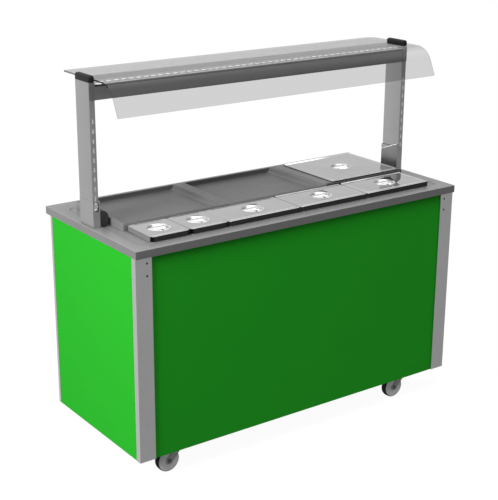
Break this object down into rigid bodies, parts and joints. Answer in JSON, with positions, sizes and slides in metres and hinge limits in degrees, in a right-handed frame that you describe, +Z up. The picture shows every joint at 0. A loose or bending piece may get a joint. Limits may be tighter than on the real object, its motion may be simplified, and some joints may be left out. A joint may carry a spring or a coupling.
{
  "type": "steam table unit",
  "caption": "Mobile hot-food serving counter on casters with lidded lift-out pans, shallow trays, a heated cupboard and a lit gantry under curved glass.",
  "frame": {"origin": "on the floor, under the middle of the worktop", "axes": "+Z up, +X along the counter towards its right end as the customer faces it, +Y from the customer's side to the server's side"},
  "size_m": [1.505, 0.675, 1.451],
  "materials": {
    "worktop_steel": "satin brushed stainless steel",
    "well_steel": "dull stainless steel",
    "pan_steel": "satin stainless steel",
    "lid_steel": "bright polished stainless steel",
    "tray_steel": "satin stainless steel",
    "trim_steel": "satin stainless steel",
    "green_panel": "satin bright green",
    "gantry_steel": "satin brushed stainless steel",
    "black_plastic": "black moulded plastic",
    "screen_glass": "clear toughened glass",
    "reflector": "bright reflector",
    "quartz": "frosted quartz tube",
    "zinc": "plain metal",
    "caster_zinc": "zinc plated",
    "caster_rubber": "black rubber tread with a grey wheel centre"
  },
  "bodies": {
    "frame": {"worktop": "worktop_steel", "well_tank": "well_steel", "base_plate": "well_steel", "cupboard_liner": "well_steel", "door_top_track": "well_steel", "door_bottom_track": "well_steel", "well_divider": "pan_steel", "cupboard_shelf": "pan_steel", "pan_frame": "tray_steel", "corner_post_front_left": "trim_steel", "corner_post_front_right": "trim_steel", "corner_post_rear_left": "trim_steel", "corner_post_rear_right": "trim_steel", "control_fascia": "trim_steel", "front_panel": "green_panel", "end_panel_left": "green_panel", "end_panel_right": "green_panel", "gantry_post_left": "gantry_steel", "gantry_post_right": "gantry_steel", "gantry_socket_left": "gantry_steel", "gantry_socket_right": "gantry_steel", "gantry_beam": "gantry_steel", "cable_boot_left": "black_plastic", "end_cap_left": "black_plastic", "end_cap_right": "black_plastic", "mains_inlet": "black_plastic", "glass_screen": "screen_glass", "lamp_reflector": "reflector", "heat_lamp": "quartz", "heating_element": "zinc", "drain_pipe": "zinc"},
    "pan_1": {"pan_1": "pan_steel"},
    "lid_1": {"lid_1": "lid_steel"},
    "pan_2": {"pan_2": "pan_steel"},
    "lid_2": {"lid_2": "lid_steel"},
    "pan_3": {"pan_3": "pan_steel"},
    "lid_3": {"lid_3": "lid_steel"},
    "pan_4": {"pan_4": "pan_steel"},
    "lid_4": {"lid_4": "lid_steel"},
    "pan_5": {"pan_5": "pan_steel"},
    "lid_5": {"lid_5": "lid_steel"},
    "pan_6": {"pan_6": "pan_steel"},
    "lid_6": {"lid_6": "lid_steel"},
    "tray_left": {"tray_left": "tray_steel"},
    "tray_right": {"tray_right": "tray_steel"},
    "door_left": {"door_left": "trim_steel"},
    "door_right": {"door_right": "trim_steel"},
    "knob_cupboard": {"knob_cupboard": "black_plastic"},
    "knob_well": {"knob_well": "black_plastic"},
    "rocker_switch": {"rocker_switch": "black_plastic"},
    "drain_lever": {"drain_lever": "black_plastic"},
    "caster_front_left": {"caster_fork_front_left": "caster_zinc"},
    "wheel_front_left": {"caster_wheel_front_left": "caster_rubber"},
    "caster_front_right": {"caster_fork_front_right": "caster_zinc"},
    "wheel_front_right": {"caster_wheel_front_right": "caster_rubber"},
    "caster_rear_left": {"caster_fork_rear_left": "caster_zinc"},
    "wheel_rear_left": {"caster_wheel_rear_left": "caster_rubber"},
    "caster_rear_right": {"caster_fork_rear_right": "caster_zinc"},
    "wheel_rear_right": {"caster_wheel_rear_right": "caster_rubber"}
  },
  "joints": [
    {"name": "swivel_front_left", "type": "hinge", "parent": "frame", "child": "caster_front_left", "pos_m": [-0.5585, -0.2765, 0.115], "axis": [0, 0, 1], "continuous": true},
    {"name": "roll_front_left", "type": "hinge", "parent": "caster_front_left", "child": "wheel_front_left", "pos_m": [-0.6075, -0.2765, 0.0465], "axis": [0, 1, 0], "continuous": true},
    {"name": "swivel_front_right", "type": "hinge", "parent": "frame", "child": "caster_front_right", "pos_m": [0.5585, -0.2765, 0.115], "axis": [0, 0, 1], "continuous": true},
    {"name": "roll_front_right", "type": "hinge", "parent": "caster_front_right", "child": "wheel_front_right", "pos_m": [0.5095, -0.2765, 0.0465], "axis": [0, 1, 0], "continuous": true},
    {"name": "swivel_rear_left", "type": "hinge", "parent": "frame", "child": "caster_rear_left", "pos_m": [-0.5585, 0.2502, 0.115], "axis": [0, 0, 1], "continuous": true},
    {"name": "roll_rear_left", "type": "hinge", "parent": "caster_rear_left", "child": "wheel_rear_left", "pos_m": [-0.6075, 0.2502, 0.0465], "axis": [0, 1, 0], "continuous": true},
    {"name": "swivel_rear_right", "type": "hinge", "parent": "frame", "child": "caster_rear_right", "pos_m": [0.5585, 0.2502, 0.115], "axis": [0, 0, 1], "continuous": true},
    {"name": "roll_rear_right", "type": "hinge", "parent": "caster_rear_right", "child": "wheel_rear_right", "pos_m": [0.5095, 0.2502, 0.0465], "axis": [0, 1, 0], "continuous": true},
    {"name": "lift_pan_1", "type": "slide", "parent": "frame", "child": "pan_1", "axis": [0, 0, 1], "range_m": [0, 0.2]},
    {"name": "lift_lid_1", "type": "slide", "parent": "pan_1", "child": "lid_1", "axis": [0, 0, 1], "range_m": [0, 0.15]},
    {"name": "lift_pan_2", "type": "slide", "parent": "frame", "child": "pan_2", "axis": [0, 0, 1], "range_m": [0, 0.2]},
    {"name": "lift_lid_2", "type": "slide", "parent": "pan_2", "child": "lid_2", "axis": [0, 0, 1], "range_m": [0, 0.15]},
    {"name": "lift_pan_3", "type": "slide", "parent": "frame", "child": "pan_3", "axis": [0, 0, 1], "range_m": [0, 0.2]},
    {"name": "lift_lid_3", "type": "slide", "parent": "pan_3", "child": "lid_3", "axis": [0, 0, 1], "range_m": [0, 0.15]},
    {"name": "lift_pan_4", "type": "slide", "parent": "frame", "child": "pan_4", "axis": [0, 0, 1], "range_m": [0, 0.2]},
    {"name": "lift_lid_4", "type": "slide", "parent": "pan_4", "child": "lid_4", "axis": [0, 0, 1], "range_m": [0, 0.15]},
    {"name": "lift_pan_5", "type": "slide", "parent": "frame", "child": "pan_5", "axis": [0, 0, 1], "range_m": [0, 0.2]},
    {"name": "lift_lid_5", "type": "slide", "parent": "pan_5", "child": "lid_5", "axis": [0, 0, 1], "range_m": [0, 0.15]},
    {"name": "lift_pan_6", "type": "slide", "parent": "frame", "child": "pan_6", "axis": [0, 0, 1], "range_m": [0, 0.2]},
    {"name": "lift_lid_6", "type": "slide", "parent": "pan_6", "child": "lid_6", "axis": [0, 0, 1], "range_m": [0, 0.15]},
    {"name": "lift_tray_left", "type": "slide", "parent": "frame", "child": "tray_left", "axis": [0, 0, 1], "range_m": [0, 0.15]},
    {"name": "lift_tray_right", "type": "slide", "parent": "frame", "child": "tray_right", "axis": [0, 0, 1], "range_m": [0, 0.15]},
    {"name": "slide_door_left", "type": "slide", "parent": "frame", "child": "door_left", "axis": [1, 0, 0], "range_m": [0, 0.68]},
    {"name": "slide_door_right", "type": "slide", "parent": "frame", "child": "door_right", "axis": [-1, 0, 0], "range_m": [0, 0.68]},
    {"name": "turn_knob_cupboard", "type": "hinge", "parent": "frame", "child": "knob_cupboard", "pos_m": [0.3275, 0.3125, 0.785], "axis": [0, 1, 0], "range_deg": [0, 270]},
    {"name": "turn_knob_well", "type": "hinge", "parent": "frame", "child": "knob_well", "pos_m": [0.4275, 0.3125, 0.785], "axis": [0, 1, 0], "range_deg": [0, 270]},
    {"name": "rock_switch", "type": "hinge", "parent": "frame", "child": "rocker_switch", "pos_m": [0.5235, 0.3066, 0.785], "axis": [1, 0, 0], "range_deg": [0, 10]},
    {"name": "turn_drain_lever", "type": "hinge", "parent": "frame", "child": "drain_lever", "pos_m": [-0.4525, 0.3145, 0.673], "axis": [0, 1, 0], "range_deg": [-90, 0]}
  ]
}
